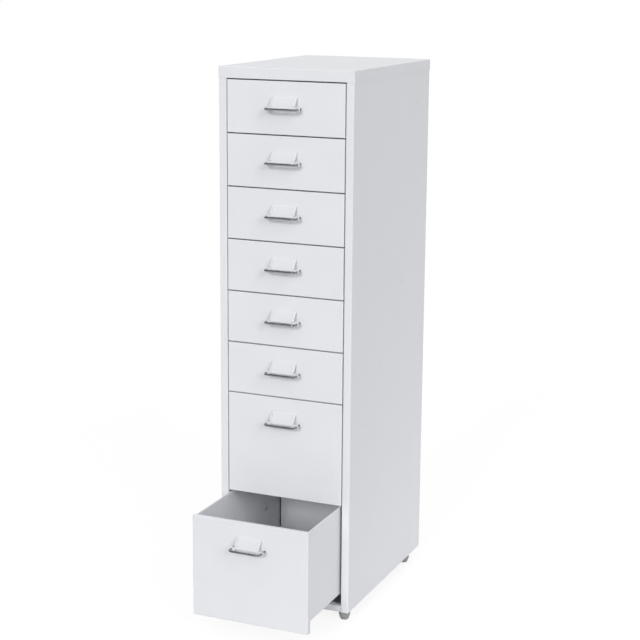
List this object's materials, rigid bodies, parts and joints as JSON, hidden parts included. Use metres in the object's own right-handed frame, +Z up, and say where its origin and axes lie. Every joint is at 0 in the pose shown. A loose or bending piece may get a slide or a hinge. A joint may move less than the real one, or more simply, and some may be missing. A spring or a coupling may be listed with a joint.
{
  "type": "tall metal drawer cabinet",
  "caption": "Tall narrow sheet-steel drawer cabinet on levelling feet, with full-width sliding drawers, wire pulls and sloping label brackets.",
  "frame": {"origin": "floor level, under the middle of the shell's footprint", "axes": "the drawers open towards -Y, +X is to the right seen from the front, and +Z is up"},
  "size_m": [0.28, 0.6016, 1.085],
  "materials": {
    "shell_paint": "white powder coat, satin",
    "drawer_paint": "white powder coat, satin",
    "bracket_paint": "white powder coat, satin",
    "rack_steel": "zinc plated",
    "wire": "bright chrome plate",
    "card": "white card",
    "foot_plastic": "moulded grey plastic",
    "stud_steel": "zinc plated"
  },
  "bodies": {
    "shell": {"side_left": "shell_paint", "side_right": "shell_paint", "top_panel": "shell_paint", "base_panel": "shell_paint", "back_panel": "shell_paint", "rack_left": "rack_steel", "rack_right": "rack_steel"},
    "drawer_1": {"tray_1": "drawer_paint", "front_1": "drawer_paint", "pull_1": "wire", "label_bracket_1": "bracket_paint", "label_card_1": "card"},
    "drawer_2": {"tray_2": "drawer_paint", "front_2": "drawer_paint", "pull_2": "wire", "label_bracket_2": "bracket_paint", "label_card_2": "card"},
    "drawer_3": {"tray_3": "drawer_paint", "front_3": "drawer_paint", "pull_3": "wire", "label_bracket_3": "bracket_paint", "label_card_3": "card"},
    "drawer_4": {"tray_4": "drawer_paint", "front_4": "drawer_paint", "pull_4": "wire", "label_bracket_4": "bracket_paint", "label_card_4": "card"},
    "drawer_5": {"tray_5": "drawer_paint", "front_5": "drawer_paint", "pull_5": "wire", "label_bracket_5": "bracket_paint", "label_card_5": "card"},
    "drawer_6": {"tray_6": "drawer_paint", "front_6": "drawer_paint", "pull_6": "wire", "label_bracket_6": "bracket_paint", "label_card_6": "card"},
    "drawer_7": {"tray_7": "drawer_paint", "front_7": "drawer_paint", "pull_7": "wire", "label_bracket_7": "bracket_paint", "label_card_7": "card"},
    "drawer_8": {"tray_8": "drawer_paint", "front_8": "drawer_paint", "pull_8": "wire", "label_bracket_8": "bracket_paint", "label_card_8": "card"},
    "front_left_foot": {"foot_front_left": "foot_plastic", "stud_front_left": "stud_steel"},
    "front_right_foot": {"foot_front_right": "foot_plastic", "stud_front_right": "stud_steel"},
    "rear_left_foot": {"foot_rear_left": "foot_plastic", "stud_rear_left": "stud_steel"},
    "rear_right_foot": {"foot_rear_right": "foot_plastic", "stud_rear_right": "stud_steel"}
  },
  "joints": [
    {"name": "drawer_1_slide", "type": "slide", "parent": "shell", "child": "drawer_1", "axis": [0, -1, 0], "range_m": [0, 0.27]},
    {"name": "drawer_2_slide", "type": "slide", "parent": "shell", "child": "drawer_2", "axis": [0, -1, 0], "range_m": [0, 0.27]},
    {"name": "drawer_3_slide", "type": "slide", "parent": "shell", "child": "drawer_3", "axis": [0, -1, 0], "range_m": [0, 0.27]},
    {"name": "drawer_4_slide", "type": "slide", "parent": "shell", "child": "drawer_4", "axis": [0, -1, 0], "range_m": [0, 0.27]},
    {"name": "drawer_5_slide", "type": "slide", "parent": "shell", "child": "drawer_5", "axis": [0, -1, 0], "range_m": [0, 0.27]},
    {"name": "drawer_6_slide", "type": "slide", "parent": "shell", "child": "drawer_6", "axis": [0, -1, 0], "range_m": [0, 0.27]},
    {"name": "drawer_7_slide", "type": "slide", "parent": "shell", "child": "drawer_7", "axis": [0, -1, 0], "range_m": [0, 0.27]},
    {"name": "drawer_8_slide", "type": "slide", "parent": "shell", "child": "drawer_8", "axis": [0, -1, 0], "range_m": [-0.1576, 0.1124]},
    {"name": "front_left_foot_turn", "type": "hinge", "parent": "shell", "child": "front_left_foot", "pos_m": [-0.1245, -0.1885, 0.02], "axis": [0, 0, 1], "continuous": true},
    {"name": "front_right_foot_turn", "type": "hinge", "parent": "shell", "child": "front_right_foot", "pos_m": [0.1245, -0.1885, 0.02], "axis": [0, 0, 1], "continuous": true},
    {"name": "rear_left_foot_turn", "type": "hinge", "parent": "shell", "child": "rear_left_foot", "pos_m": [-0.1245, 0.15, 0.02], "axis": [0, 0, 1], "continuous": true},
    {"name": "rear_right_foot_turn", "type": "hinge", "parent": "shell", "child": "rear_right_foot", "pos_m": [0.1245, 0.15, 0.02], "axis": [0, 0, 1], "continuous": true}
  ]
}
